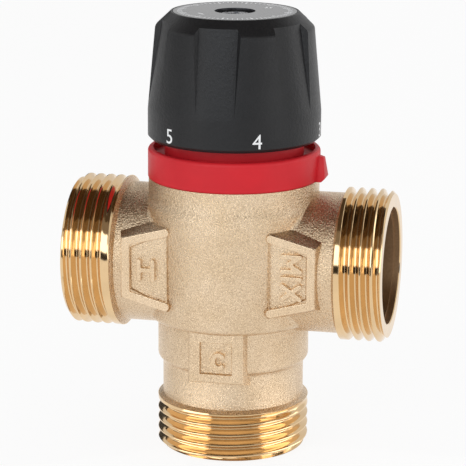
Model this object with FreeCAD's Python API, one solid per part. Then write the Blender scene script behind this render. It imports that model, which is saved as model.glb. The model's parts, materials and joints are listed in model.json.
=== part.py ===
"""Three-port thermostatic mixing valve, DN 20, G 1 male threads (millimetres).

The valve stands on the face of its lower (cold) port.  The origin is the centre of that
face, +Z points up the spindle, the hot port is on -X and the mixed-water port on +X.

Water path: hot water comes in on -X, above the upper partition; cold water comes in from
below, under the lower partition; both meet in the chamber between the partitions, around
the wax element, and leave on +X.  The element pushes a shuttle with a hot disc and a cold
disc.  The knob turns a spindle whose screw lifts a sliding nut and so sets the temperature.
"""
import FreeCAD, Part
import math
import os
from FreeCAD import Vector

os.makedirs("parts", exist_ok=True)

# ---------------------------------------------------------------- casting and its ports
face_to_face = 70.0        # between the faces of the two side ports
axis_height = 42.0         # lower port face to the axis of the side ports
port_thread_d = 33.25      # major diameter of the G 1 thread
port_thread_length = 10.8
port_chamfer = 1.0
port_bore_d = 24.0
port_mouth_d = 25.4        # machined step just inside each port face
port_mouth_depth = 1.5
side_neck_d = 30.6         # cast neck between thread and barrel, side ports
cold_neck_d = 31.0         # the same on the lower port
cold_collar_d = 33.2       # thicker collar between the lower neck and the barrel
cold_collar_drop = 23.4    # bottom of that collar's cone, below the side axis
collar_cone_length = 2.1
barrel_drop = 13.1         # lower edge of the barrel, below the side axis
barrel_high_d = 38.7       # under the shoulder
barrel_draft = 0.9         # how much narrower the barrel is at its foot
barrel_round = 1.6
shoulder_rise = 12.5       # where the barrel's top cone starts, above the side axis
shoulder_height = 2.0
top_collar_step = 1.5      # how much narrower the collar under the ring is than the barrel
body_rise = 18.1           # top face of the casting, above the side axis
neck_fillet = 1.2          # between the barrel and the side necks
run_out_length = 0.65      # cone between a neck and its thread

# raised panels that carry the port letters
panel_face = 16.0          # panel face to the valve's centre plane
panel_inner_x = 11.0       # inner end of a side panel, where it meets the barrel
panel_gap = 3.0            # outer end of a side panel to the start of the thread
panel_half_height_in = 9.3
panel_half_height_out = 6.6
panel_lift = 0.2           # middle of the side panels above the side axis
panel_draft = 0.3          # how far a panel spreads for each millimetre below its face
panel_sink = 8.0           # how deep the panels' feet reach into the casting
panel_round = 0.4          # broken edge round a panel's face
panel_border = 1.9
panel_recess = 0.5
recess_draft = 0.25        # how far a recess narrows towards its floor
recess_over = 0.1          # the recess cutters stand this far out of the panel
cold_panel_half_width = 5.9
cold_panel_face = 17.3
cold_panel_drop = 23.9     # lower edge of the cold panel, below the side axis
cold_panel_window = 3.6    # half width of its square recess

# ---------------------------------------------------------------- water passages
chamber_d = 28.0           # mixing chamber and hot gallery, also the bonnet's thread bore
seat_bore_d = 19.0         # holes through the two partitions
partition = 3.0
hot_seat_rise = 3.0        # top of the hot partition, above the side axis
cold_seat_drop = 17.0      # underside of the cold partition, below the side axis
gallery_rise = 10.0        # roof of the hot gallery's window, above the side axis
port_end_wall = 1.5        # between the end of a side bore and the chamber

# ---------------------------------------------------------------- bonnet and seal
thread_gap = 0.1           # radial gap that stands for a screwed fit
bonnet_reach = 7.6         # length of the bonnet's thread below the top of the casting
flange_height = 2.4
hex_flats = 24.0
hex_height = 6.0
bonnet_neck_d = 19.0
bonnet_top_rise = 19.1     # top of the bonnet above the top of the casting
guide_bore_d = 16.0        # the nut slides in here
guide_flats = 14.2         # flats of that bore keep the nut from turning
roof_height = 6.0          # bonnet metal above the guide bore
seal_section = 1.8         # the bonnet's O-ring
seal_groove_wall = 0.1
seal_corner = 0.28         # broken corners of a flat seal, as a share of its section

# ---------------------------------------------------------------- spindle
spindle_d = 8.0
running_gap = 0.05
spindle_flange_d = 12.0
spindle_flange_height = 1.6
thrust_washer_height = 0.6
thrust_washer_d = 13.6
lift_screw_d = 7.0
lift_screw_length = 12.6
spline_tip_d = 6.8
spline_root_d = 6.0
spline_teeth = 18
spline_gap = 0.1
spline_length = 10.6
spindle_ring_depth = 1.1   # O-ring grooves of the spindle
spindle_ring_height = 1.6
spindle_ring_first = 1.4   # lower groove above the roof's underside
spindle_ring_pitch = 2.4
clip_height = 0.8
clip_groove_depth = 0.7
clip_rim = 1.5             # how far a clip stands out of its groove
clip_mouth = 60.0          # open angle of the spring clips, degrees
snap_mouth = 30.0          # open angle of the inside snap rings

# ---------------------------------------------------------------- lift nut and overload unit
nut_gap = 0.1
nut_bottom_rise = 7.9      # above the side axis
nut_thread_length = 10.0
spring_room = 9.3          # depth of the nut's spring chamber
spring_room_d = 12.4
nut_ring_rise = 0.7        # snap ring above the nut's lower edge
nut_ring_height = 0.8
nut_ring_groove = 0.6
plunger_height = 1.4
plunger_nose_d = 6.0
plunger_nose_drop = 1.8    # nose below the plunger's disc
plunger_boss_d = 6.4
plunger_boss_height = 1.5
overload_wire = 1.2
overload_turns = 3.0
overload_spring_d = 10.2   # mean diameter

# ---------------------------------------------------------------- wax element and shuttle
pin_d = 3.0
pin_length = 10.4
guide_d = 8.0
guide_top_drop = 1.5       # top of the element's guide under the pin's top
guide_plug_d = 9.0
guide_plug_length = 3.8
guide_floor = 0.75         # metal left under the guide's bore
cup_d = 11.0
cup_length = 11.8
cup_top_drop = 1.2         # rim of the element's cup, below the side axis
disc_d = 21.6              # both valve discs
disc_height = 1.2
disc_lift = 1.5            # water gap between each seal and its seat at rest
disc_seal_height = 0.8
disc_seal_bore_d = 15.0
hub_foot_d = 12.0
clip_recess = 1.5          # sunk in the top of the hot disc
disc_stem_d = 5.0
fit_gap = 0.05             # assembled parts that do not turn on each other
seal_gap = 0.01            # a seal's rubber to the metal that it touches
same_place = 0.05          # how near a point lies to a face that it belongs to

# ---------------------------------------------------------------- return spring and its seat
return_wire = 1.3
return_turns = 3.5
return_spring_d = 13.0
return_spring_length = 9.2
spring_seat_height = 1.5
spring_seat_rim = 1.7
spring_seat_gap = 0.1
spoke_width = 2.2
spoke_count = 4
bore_ring_height = 1.2
bore_ring_depth = 0.8

# ---------------------------------------------------------------- pointer ring
ring_height = 6.6
ring_wall = 1.55           # skirt round the bonnet's flange
ring_rim = 1.15
ring_channel = 1.5
ring_gap = 0.2             # ring around the bonnet's flange
ring_lip_height = 2.0
ring_collar_gap = 0.3      # between that collar and the knob's skirt
ring_collar_wall = 1.1
ring_collar_rise = 10.3    # top of the collar above the top of the casting
ring_edge = 0.4
pointer_width = 4.2
pointer_height = 5.9
pointer_reach_top = 1.1
pointer_reach_foot = 1.7

# ---------------------------------------------------------------- knob
knob_gap = 2.4             # between the ring's rim and the knob
knob_height = 27.1
knob_band_d = 37.5         # plain band at the foot
knob_band_height = 5.9
knob_top_d = 34.2          # where the taper meets the top chamfer
knob_chamfer_height = 3.1
knob_face_d = 27.6         # flat top
knob_corner = 1.6          # rounding between the side and the top chamfer
knob_lobes = 6
recess_turn = -90.5        # direction of one finger recess, degrees from +X
recess_floor = 8.3         # width of a recess's floor
recess_flank = 1.1         # width that each sloping flank adds at the top
recess_depth = 1.3         # at the top of the knob's side
recess_foot_rise = 7.2     # where the recesses run out
knob_wall = 1.55
knob_shell_wall = 2.1
hub_sink = 0.5             # how far ribs and the stop lug reach into the walls that carry them
hub_clear = 0.4            # hub above the foot of the spindle's spline
knob_roof = 4.6
knob_edge = 0.7
hub_d = 14.0
rib_width = 1.4
rib_drop = 8.6             # ribs reach this far below the knob's roof
screw_recess_d = 8.8
screw_recess_depth = 2.8
top_disc_d = 26.6
top_disc_height = 0.3
knob_travel = 124.0        # from the middle setting to either stop, degrees
stop_half_angle = 30.0
stop_slack = 1.0           # degrees
stop_height = 1.8
stop_clear = 0.5
knob_screw_d = 4.0
knob_screw_length = 10.5
screw_head_d = 7.0
screw_head_height = 1.7
screw_head_edge = 0.4
screw_slot_length = 4.7
screw_slot_width = 0.9
screw_slot_depth = 0.8
washer_d = 8.2
washer_height = 0.5

# ---------------------------------------------------------------- derived places
barrel_low_d = barrel_high_d - barrel_draft
top_collar_d = barrel_high_d - top_collar_step
ring_d = knob_band_d
ring_collar_d = knob_band_d - 2 * (knob_wall + ring_collar_gap)
flange_d = ring_d - 2 * (ring_wall + ring_gap)
port_x = face_to_face / 2
thread_x = port_x - port_thread_length
body_top = axis_height + body_rise
barrel_foot = axis_height - barrel_drop
bore_r = port_bore_d / 2
chamber_r = chamber_d / 2
hot_seat = axis_height + hot_seat_rise
hot_partition_foot = hot_seat - partition
cold_seat = axis_height - cold_seat_drop
cold_partition_top = cold_seat + partition
flange_top = body_top + flange_height
hex_top = flange_top + hex_height
bonnet_top = body_top + bonnet_top_rise
roof_under = bonnet_top - roof_height
bonnet_foot = body_top - bonnet_reach
spindle_r = spindle_d / 2
flange_under = roof_under - thrust_washer_height - spindle_flange_height
screw_foot = flange_under - lift_screw_length
spline_foot = bonnet_top + 2 * clip_height
spline_top = spline_foot + spline_length
nut_foot = axis_height + nut_bottom_rise
nut_room_top = nut_foot + spring_room
nut_top = nut_room_top + nut_thread_length
nut_ring_foot = nut_foot + nut_ring_rise
plunger_foot = nut_ring_foot + nut_ring_height
plunger_top = plunger_foot + plunger_height
pin_top = plunger_foot - plunger_nose_drop
guide_top = pin_top - guide_top_drop
cup_top = axis_height - cup_top_drop
hot_seal_foot = hot_seat + disc_lift
hot_disc_foot = hot_seal_foot + disc_seal_height
hot_disc_top = hot_disc_foot + disc_height
guide_clip_foot = hot_disc_top - clip_recess
cold_seal_top = cold_seat - disc_lift
cold_disc_top = cold_seal_top - disc_seal_height
cold_disc_foot = cold_disc_top - disc_height
cup_foot = cup_top - cup_length
disc_stem_foot = cold_disc_foot - 2 * clip_height
spring_seat_top = cold_disc_foot - return_spring_length
spring_seat_foot = spring_seat_top - spring_seat_height
ring_top = body_top + ring_height
ring_collar_top = body_top + ring_collar_rise
knob_foot = ring_top + knob_gap
knob_top = knob_foot + knob_height
knob_roof_under = knob_top - knob_roof
screw_seat = knob_top - screw_recess_depth
stop_lug_half_angle = 180.0 - knob_travel - stop_half_angle - stop_slack


# ---------------------------------------------------------------- building blocks
def outline(points, plane):
    """Closed face from 2-D points; a point written (mid, end) is an arc."""
    edges = []
    here = points[0]
    for step in points[1:] + [points[0]]:
        if isinstance(step[0], tuple):
            mid, end = step
            edges.append(Part.Arc(plane(here), plane(mid), plane(end)).toShape())
            here = end
        else:
            edges.append(Part.LineSegment(plane(here), plane(step)).toShape())
            here = step
    return Part.Face(Part.Wire(edges))


def lathe(points):
    """Solid of revolution about Z from (radius, height) points."""
    face = outline(points, lambda p: Vector(p[0], 0, p[1]))
    return face.revolve(Vector(0, 0, 0), Vector(0, 0, 1), 360)


def prism(points, z0, z1):
    """Upright prism from (x, y) points."""
    face = outline(points, lambda p: Vector(p[0], p[1], z0))
    return face.extrude(Vector(0, 0, z1 - z0))


def rod(radius, z0, z1, x=0.0, y=0.0):
    return Part.makeCylinder(radius, z1 - z0, Vector(x, y, z0))


def tube(outer, inner, z0, z1):
    return rod(outer, z0, z1).cut(rod(inner, z0, z1))


def block(x0, x1, y0, y1, z0, z1):
    return Part.makeBox(x1 - x0, y1 - y0, z1 - z0, Vector(x0, y0, z0))


def ring_sector(inner, outer, z0, z1, middle, half_angle):
    """Piece of a ring, centred on an angle from +X in degrees."""
    face = outline([(inner, z0), (outer, z0), (outer, z1), (inner, z1)],
                   lambda p: Vector(p[0], 0, p[1]))
    piece = face.revolve(Vector(0, 0, 0), Vector(0, 0, 1), 2 * half_angle)
    piece.rotate(Vector(0, 0, 0), Vector(0, 0, 1), middle - half_angle)
    return piece


def to_side(shape, side):
    """Turn a port built along +Z so that it points along +X or -X at axis height."""
    turned = shape.copy()
    turned.rotate(Vector(0, 0, 0), Vector(0, 1, 0), 90 * side)
    turned.translate(Vector(0, 0, axis_height))
    return turned


def spring_clip(shaft_r, z0, height, groove_depth, rim):
    """Open retaining ring that sits in an outside groove."""
    inner = shaft_r - groove_depth
    ring = tube(shaft_r + rim, inner, z0, z0 + height)
    mouth = ring_sector(shaft_r - 2 * groove_depth, shaft_r + 2 * rim, z0, z0 + height, 90, clip_mouth / 2)
    return ring.cut(mouth)


def coil(mean_d, wire, z0, z1, turns):
    """Coil spring of square wire, its ends lying flat on z0 and z1."""
    rise = z1 - z0 - wire
    helix = Part.makeHelix(rise / turns, rise, mean_d / 2)
    helix.translate(Vector(0, 0, z0 + wire / 2))
    half = wire / 2
    corners = [(-half, -half), (half, -half), (half, half), (-half, half)]
    loop = [Vector(mean_d / 2 + x, 0, z0 + half + z) for x, z in corners]
    section = Part.makePolygon(loop + loop[:1])
    path = Part.Wire(helix.Edges)
    return path.makePipeShell([section], True, True)


def one_solid(shape):
    """Tidy a boolean result and return it as a plain solid."""
    clean = shape.removeSplitter()
    return clean.Solids[0] if len(clean.Solids) == 1 else clean


# ---------------------------------------------------------------- the casting
def barrel_blank():
    """Barrel, lower collar and lower port as one turned form."""
    thread_r = port_thread_d / 2
    neck_r = cold_neck_d / 2
    collar_r = cold_collar_d / 2
    low_r = barrel_low_d / 2
    shoulder = axis_height + shoulder_rise
    curve_foot = axis_height - cold_collar_drop
    curve_top = curve_foot + collar_cone_length
    bulge = (collar_r - neck_r) / 8
    bend = barrel_round * (1 - math.sqrt(0.5))
    return lathe([
        (0, 0),
        (thread_r - port_chamfer, 0),
        (thread_r, port_chamfer),
        (thread_r, port_thread_length),
        (neck_r, port_thread_length + run_out_length),
        (neck_r, curve_foot),
        ((neck_r + bulge, curve_foot + collar_cone_length / 4),
         ((neck_r + collar_r) / 2, curve_foot + collar_cone_length / 2)),
        ((collar_r - bulge, curve_top - collar_cone_length / 4), (collar_r, curve_top)),
        (collar_r, barrel_foot),
        (low_r - barrel_round, barrel_foot),
        ((low_r - bend, barrel_foot + bend), (low_r, barrel_foot + barrel_round)),
        (barrel_high_d / 2, shoulder),
        (top_collar_d / 2, shoulder + shoulder_height),
        (top_collar_d / 2, body_top),
        (0, body_top)])


def side_port(side):
    """One side port: plain neck, thread zone and chamfered face."""
    thread_r = port_thread_d / 2
    neck_r = side_neck_d / 2
    return to_side(lathe([
        (0, 0),
        (neck_r, 0),
        (neck_r, thread_x - run_out_length),
        (thread_r, thread_x),
        (thread_r, port_x - port_chamfer),
        (thread_r - port_chamfer, port_x),
        (0, port_x)]), side)


def fillet_necks(body):
    """Round the long seams beside the panels, where the side necks leave the barrel."""
    neck_r = side_neck_d / 2
    seams = []
    for edge in body.Edges:
        if edge.Curve.TypeId == "Part::GeomLine":
            continue
        middle = edge.valueAt((edge.FirstParameter + edge.LastParameter) / 2)
        rise = middle.z - axis_height
        on_neck = abs(math.hypot(middle.y, rise) - neck_r) < same_place
        at_barrel = math.hypot(middle.x, middle.y) < barrel_high_d / 2 + same_place
        if on_neck and at_barrel and abs(rise) < neck_r / 2:
            seams.append(edge)
    return body.makeFillet(neck_fillet, seams)


def drafted_block(face_points, foot_points, face_y, foot_y):
    """Block between an outline at face_y and another at foot_y; points are (x, z)."""
    wires = []
    for points, y in ((foot_points, foot_y), (face_points, face_y)):
        loop = [Vector(x, y, z) for x, z in points]
        wires.append(Part.makePolygon(loop + loop[:1]))
    return Part.makeLoft(wires, True, True)


def round_face(panel, face_y):
    """Break the edges round the panel's front face."""
    rim = [e for e in panel.Edges if all(abs(v.Y - face_y) < same_place for v in e.Vertexes)]
    return panel.makeFillet(panel_round, rim)


def side_panel(side):
    """Raised letter panel of a side port and the recess sunk into it."""
    def shape(inner_x, inset, spread):
        outer_x = thread_x - panel_gap - inset + spread
        outer_h = panel_half_height_out - inset + spread
        inner_h = panel_half_height_in - inset + spread
        corners = [(inner_x, -inner_h), (outer_x, -outer_h), (outer_x, outer_h), (inner_x, inner_h)]
        return [(side * x, axis_height + panel_lift + z) for x, z in corners]

    spread = panel_draft * panel_sink
    panel = drafted_block(shape(panel_inner_x, 0, 0), shape(panel_inner_x, 0, spread),
                          -panel_face, panel_sink - panel_face)
    recess_x = panel_inner_x + panel_border
    mouth = shape(recess_x, panel_border, recess_draft * recess_over)
    floor = shape(recess_x + recess_draft, panel_border, -recess_draft)
    recess = drafted_block(mouth, floor, -panel_face - recess_over, panel_recess - panel_face)
    return round_face(panel, -panel_face), recess


def cold_panel():
    """Raised panel above the lower port and its square recess."""
    low = axis_height - cold_panel_drop
    high = barrel_foot + barrel_round
    middle = (low + barrel_foot) / 2

    def plate(spread):
        w = cold_panel_half_width + spread
        return [(-w, low - spread), (w, low - spread), (w, high), (-w, high)]

    def window(half):
        return [(-half, middle - half), (half, middle - half), (half, middle + half), (-half, middle + half)]

    panel = drafted_block(plate(0), plate(panel_draft * panel_sink),
                          -cold_panel_face, panel_sink - cold_panel_face)
    recess = drafted_block(window(cold_panel_window), window(cold_panel_window - recess_draft),
                           -cold_panel_face - recess_over, panel_recess - cold_panel_face)
    return round_face(panel, -cold_panel_face), recess


def side_passage(side):
    """Bore of a side port and its window into the hot gallery or the mixing chamber."""
    end = chamber_r + port_end_wall
    bore = rod(bore_r, end, port_x).fuse(rod(port_mouth_d / 2, port_x - port_mouth_depth, port_x))
    window = to_side(rod(bore_r, 0, end), side)
    if side < 0:
        level = block(-port_x, port_x, -port_x, port_x, hot_seat, axis_height + gallery_rise)
    else:
        level = block(-port_x, port_x, -port_x, port_x, cold_partition_top, hot_partition_foot)
    return to_side(bore, side).fuse(window.common(level))


def inner_space():
    """Everything that is cut out of the casting."""
    groove_foot = spring_seat_foot - bore_ring_height
    seal_recess_r = bonnet_seal_outer_r() + seal_groove_wall
    space = rod(bore_r, 0, cold_seat)
    space = space.fuse(rod(port_mouth_d / 2, 0, port_mouth_depth))
    space = space.fuse(rod(bore_r + bore_ring_depth, groove_foot, spring_seat_foot))
    space = space.fuse(rod(seat_bore_d / 2, cold_seat, hot_seat))
    space = space.fuse(rod(chamber_r, cold_partition_top, hot_partition_foot))
    space = space.fuse(rod(chamber_r, hot_seat, body_top))
    space = space.fuse(rod(seal_recess_r, body_top - seal_section, body_top))
    for side in (-1, 1):
        space = space.fuse(side_passage(side))
    return space


def valve_body():
    body = barrel_blank()
    for side in (-1, 1):
        body = body.fuse(side_port(side))
    body = fillet_necks(body.removeSplitter())
    panels = [side_panel(-1), side_panel(1), cold_panel()]
    for panel, _ in panels:
        body = body.fuse(panel)
    for _, recess in panels:
        body = body.cut(recess)
    return one_solid(body.cut(inner_space()))


# ---------------------------------------------------------------- bonnet and seals
def bonnet_seal_outer_r():
    return chamber_r - thread_gap + seal_groove_wall + seal_section


def flat_ring(inner, outer, z0, z1):
    """Seal ring with broken corners."""
    cut = min(outer - inner, z1 - z0) * seal_corner
    return lathe([(inner + cut, z0), (outer - cut, z0), (outer, z0 + cut), (outer, z1 - cut),
                  (outer - cut, z1), (inner + cut, z1), (inner, z1 - cut), (inner, z0 + cut)])


def hexagon(flats, z0, z1):
    corner = flats / 2 / math.cos(math.radians(30))
    angles = [math.radians(60 * i) for i in range(6)]
    return prism([(corner * math.cos(a), corner * math.sin(a)) for a in angles], z0, z1)


def flatted(radius, flats, z0, z1):
    """Cylinder with two flats that face +X and -X."""
    return rod(radius, z0, z1).common(block(-flats / 2, flats / 2, -radius, radius, z0, z1))


def bonnet():
    thread_r = chamber_r - thread_gap
    shape = rod(thread_r, bonnet_foot, body_top)
    shape = shape.fuse(rod(flange_d / 2, body_top, flange_top))
    shape = shape.fuse(hexagon(hex_flats, flange_top, hex_top))
    shape = shape.fuse(rod(bonnet_neck_d / 2, hex_top, bonnet_top))
    shape = shape.cut(flatted(guide_bore_d / 2, guide_flats, bonnet_foot, roof_under))
    shape = shape.cut(rod(spindle_r + running_gap, roof_under, bonnet_top))
    return one_solid(shape)


def bonnet_seal():
    inner = chamber_r - thread_gap + seal_groove_wall
    return flat_ring(inner, bonnet_seal_outer_r(), body_top - seal_section, body_top)


# ---------------------------------------------------------------- spindle
def spline(tip_r, root_r, z0, z1):
    points = []
    for i in range(spline_teeth):
        for part, radius in ((0.0, root_r), (0.5, tip_r)):
            a = math.radians(360 * (i + part) / spline_teeth)
            points.append((radius * math.cos(a), radius * math.sin(a)))
    return prism(points, z0, z1)


def spindle_groove_foot(number):
    return roof_under + spindle_ring_first + number * spindle_ring_pitch


def spindle():
    shape = rod(lift_screw_d / 2, screw_foot, flange_under)
    shape = shape.fuse(rod(spindle_flange_d / 2, flange_under, roof_under - thrust_washer_height))
    shape = shape.fuse(rod(spindle_r, roof_under - thrust_washer_height, spline_foot))
    shape = shape.fuse(spline(spline_tip_d / 2, spline_root_d / 2, spline_foot, spline_top))
    for number in (0, 1):
        foot = spindle_groove_foot(number)
        shape = shape.cut(tube(spindle_d, spindle_r - spindle_ring_depth, foot, foot + spindle_ring_height))
    shape = shape.cut(tube(spindle_d, spindle_r - clip_groove_depth, bonnet_top, bonnet_top + clip_height))
    hole_r = knob_screw_d / 2 + fit_gap
    tip = screw_seat + washer_height - knob_screw_length - knob_screw_d / 2
    return one_solid(shape.cut(rod(hole_r, tip, spline_top)))


def spindle_seal(number):
    foot = spindle_groove_foot(number)
    inner = spindle_r - spindle_ring_depth + seal_gap
    outer = spindle_r + running_gap - seal_gap
    return flat_ring(inner, outer, foot + fit_gap, foot + spindle_ring_height - fit_gap)


def thrust_washer():
    return tube(thrust_washer_d / 2, spindle_r + fit_gap, roof_under - thrust_washer_height, roof_under)


def spindle_circlip():
    return spring_clip(spindle_r, bonnet_top, clip_height, clip_groove_depth, clip_rim)


# ---------------------------------------------------------------- lift nut and overload unit
def lift_nut():
    outer_r = guide_bore_d / 2 - nut_gap
    shape = flatted(outer_r, guide_flats - 2 * nut_gap, nut_foot, nut_top)
    shape = shape.cut(rod(spring_room_d / 2, nut_foot, nut_room_top))
    shape = shape.cut(rod(lift_screw_d / 2 + nut_gap, nut_room_top, nut_top))
    groove_r = spring_room_d / 2 + nut_ring_groove
    return one_solid(shape.cut(rod(groove_r, nut_ring_foot, nut_ring_foot + nut_ring_height)))


def snap_ring(inner, outer, z0, z1):
    """Open retaining ring that sits in an inside groove."""
    ring = tube(outer, inner, z0, z1)
    return ring.cut(ring_sector(inner - clip_rim, outer + clip_rim, z0, z1, 90, snap_mouth / 2))


def plunger_snap_ring():
    outer = spring_room_d / 2 + nut_ring_groove - fit_gap
    inner = spring_room_d / 2 - clip_rim
    return snap_ring(inner, outer, nut_ring_foot, nut_ring_foot + nut_ring_height)


def overload_plunger():
    shape = rod(spring_room_d / 2 - nut_gap, plunger_foot, plunger_top)
    shape = shape.fuse(rod(plunger_nose_d / 2, pin_top, plunger_foot))
    return one_solid(shape.fuse(rod(plunger_boss_d / 2, plunger_top, plunger_top + plunger_boss_height)))


def overload_spring():
    return coil(overload_spring_d, overload_wire, plunger_top, nut_room_top, overload_turns)


# ---------------------------------------------------------------- wax element and shuttle
def element_pin():
    return rod(pin_d / 2, pin_top - pin_length, pin_top)


def element_guide():
    shape = rod(guide_plug_d / 2, cup_top - guide_plug_length, cup_top)
    shape = shape.fuse(rod(guide_d / 2, cup_top, guide_top))
    shape = shape.cut(rod(pin_d / 2 + running_gap, cup_top - guide_plug_length + guide_floor, guide_top))
    groove = tube(guide_d, guide_d / 2 - clip_groove_depth, guide_clip_foot, guide_clip_foot + clip_height)
    return one_solid(shape.cut(groove))


def element_cup():
    stem_r = disc_stem_d / 2
    shape = rod(cup_d / 2, cup_foot, cup_top).fuse(rod(stem_r, disc_stem_foot, cup_foot))
    shape = shape.cut(rod(guide_plug_d / 2 + fit_gap, cup_top - guide_plug_length, cup_top))
    groove = tube(disc_stem_d, stem_r - clip_groove_depth, cold_disc_foot - clip_height, cold_disc_foot)
    return one_solid(shape.cut(groove))


def shuttle():
    """Hot disc with the long hub that carries the element."""
    bore_r_hub = guide_d / 2 + fit_gap
    seat_r = guide_d / 2 + clip_rim + 2 * fit_gap
    hub_r = disc_seal_bore_d / 2 - fit_gap
    return lathe([
        (bore_r_hub, cup_top),
        (hub_foot_d / 2, cup_top),
        (hub_r, hot_seal_foot),
        (hub_r, hot_disc_foot),
        (disc_d / 2, hot_disc_foot),
        (disc_d / 2, hot_disc_top),
        (seat_r, hot_disc_top),
        (seat_r, guide_clip_foot),
        (bore_r_hub, guide_clip_foot)])


def guide_clip():
    return spring_clip(guide_d / 2, guide_clip_foot, clip_height, clip_groove_depth, clip_rim)


def hot_seat_seal():
    return flat_ring(disc_seal_bore_d / 2, disc_d / 2, hot_seal_foot, hot_disc_foot)


def cold_seat_seal():
    return flat_ring(disc_seal_bore_d / 2, disc_d / 2, cold_disc_top, cold_seal_top)


def cold_disc():
    hub_r = disc_seal_bore_d / 2 - fit_gap
    bore = disc_stem_d / 2 + fit_gap
    return lathe([(bore, cold_disc_foot), (disc_d / 2, cold_disc_foot), (disc_d / 2, cold_disc_top),
                  (hub_r, cold_disc_top), (hub_r - disc_seal_height, cold_seal_top), (bore, cold_seal_top)])


def cold_disc_clip():
    foot = cold_disc_foot - clip_height
    return spring_clip(disc_stem_d / 2, foot, clip_height, clip_groove_depth, clip_rim)


# ---------------------------------------------------------------- return spring and its seat
def return_spring():
    return coil(return_spring_d, return_wire, spring_seat_top, cold_disc_foot, return_turns)


def spring_seat():
    """Spoked disc: an outer rim, a ring under the spring and spokes between them."""
    rim_r = bore_r - spring_seat_gap
    pad_in = return_spring_d / 2 - return_wire
    pad_out = return_spring_d / 2 + return_wire
    shape = tube(rim_r, rim_r - spring_seat_rim, spring_seat_foot, spring_seat_top)
    shape = shape.fuse(tube(pad_out, pad_in, spring_seat_foot, spring_seat_top))
    for i in range(spoke_count):
        spoke = block(pad_in + return_wire / 2, rim_r - spring_seat_rim / 2, -spoke_width / 2,
                      spoke_width / 2, spring_seat_foot, spring_seat_top)
        spoke.rotate(Vector(0, 0, 0), Vector(0, 0, 1), 360 * i / spoke_count)
        shape = shape.fuse(spoke)
    return one_solid(shape)


def bore_snap_ring():
    outer = bore_r + bore_ring_depth - fit_gap
    inner = bore_r - spring_seat_rim / 2
    return snap_ring(inner, outer, spring_seat_foot - bore_ring_height, spring_seat_foot)


# ---------------------------------------------------------------- pointer ring
def pointer_ring():
    outer = ring_d / 2
    flange_room = flange_d / 2 + ring_gap
    collar = ring_collar_d / 2
    channel_r = outer - ring_rim
    lip_r = hex_flats / 2
    shape = lathe([
        (flange_room, body_top),
        (outer - ring_edge, body_top),
        (outer, body_top + ring_edge),
        (outer, ring_top - ring_edge),
        (outer - ring_edge, ring_top),
        (channel_r, ring_top),
        (channel_r, ring_top - ring_channel),
        (collar, ring_top - ring_channel),
        (collar, ring_collar_top),
        (collar - ring_collar_wall, ring_collar_top),
        (collar - ring_collar_wall, flange_top + ring_lip_height),
        (lip_r, flange_top + ring_lip_height),
        (lip_r, flange_top),
        (flange_room, flange_top)])
    shape = shape.cut(hexagon(hex_flats + 2 * ring_gap, flange_top, hex_top))
    stop = ring_sector(collar - ring_collar_wall, collar, ring_collar_top - ring_edge,
                       ring_collar_top + stop_height, 180, stop_half_angle)
    root = outer - ring_rim / 2
    top = body_top + pointer_height
    side = outline([(root, body_top), (outer + pointer_reach_foot, body_top),
                    (outer + pointer_reach_top, top - pointer_reach_top), (outer, top), (root, top)],
                   lambda p: Vector(p[0], -pointer_width / 2, p[1]))
    pointer = side.extrude(Vector(0, pointer_width, 0))
    return one_solid(shape.fuse(stop).fuse(pointer))


# ---------------------------------------------------------------- knob
def knob_corner_points():
    """Ends and middle of the arc that rounds the corner under the top chamfer."""
    corner = Vector(knob_top_d / 2, 0, knob_top - knob_chamfer_height)
    down = Vector(knob_band_d / 2, 0, knob_foot + knob_band_height) - corner
    up = Vector(knob_face_d / 2, 0, knob_top) - corner
    down.normalize()
    up.normalize()
    half = down.getAngle(up) / 2
    reach = knob_corner / math.tan(half)
    inward = (down + up).normalize()
    middle = corner + inward * (knob_corner / math.sin(half) - knob_corner)
    return [(p.x, p.z) for p in (corner + down * reach, middle, corner + up * reach)]


def knob_outer():
    band_r = knob_band_d / 2
    start, middle, end = knob_corner_points()
    return lathe([
        (0, knob_foot),
        (band_r - knob_edge, knob_foot),
        (band_r, knob_foot + knob_edge),
        (band_r, knob_foot + knob_band_height),
        start,
        (middle, end),
        (knob_face_d / 2, knob_top),
        (0, knob_top)])


def finger_recess(direction):
    """Wedge that hollows one finger recess: it runs out above the band and up through the chamfer."""
    band_top = knob_foot + knob_band_height
    chamfer_z = knob_top - knob_chamfer_height
    taper = (knob_band_d - knob_top_d) / 2 / (chamfer_z - band_top)
    foot_z = knob_foot + recess_foot_rise
    foot_r = knob_band_d / 2 - taper * (foot_z - band_top)
    floor_r = knob_top_d / 2 - recess_depth
    slope = (floor_r - foot_r) / (chamfer_z - foot_z)
    top_r = floor_r + slope * (knob_top - chamfer_z)
    flank_reach = 2 * recess_depth
    flank_spread = flank_reach * recess_flank / recess_depth

    def level(z, radius):
        half = recess_floor / 2
        inner = math.sqrt(radius ** 2 - half ** 2)
        outer = inner + flank_reach
        corners = [Vector(inner, -half, z), Vector(outer, -half - flank_spread, z),
                   Vector(outer, half + flank_spread, z), Vector(inner, half, z)]
        edges = [Part.makeLine(corners[i], corners[i + 1]) for i in range(3)]
        edges.append(Part.Arc(corners[3], Vector(radius, 0, z), corners[0]).toShape())
        return Part.Wire(edges)

    wedge = Part.makeLoft([level(foot_z, foot_r), level(knob_top, top_r)], True, True)
    wedge.rotate(Vector(0, 0, 0), Vector(0, 0, 1), direction)
    return wedge


def knob_cavity():
    skirt_r = knob_band_d / 2 - knob_wall
    step_z = knob_foot + knob_band_height - knob_wall
    floor_r = knob_top_d / 2 - recess_depth - knob_shell_wall
    shell_z = step_z + skirt_r - floor_r
    return lathe([(0, knob_foot), (skirt_r, knob_foot), (skirt_r, step_z), (floor_r, shell_z),
                  (floor_r, knob_roof_under), (0, knob_roof_under)])


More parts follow.
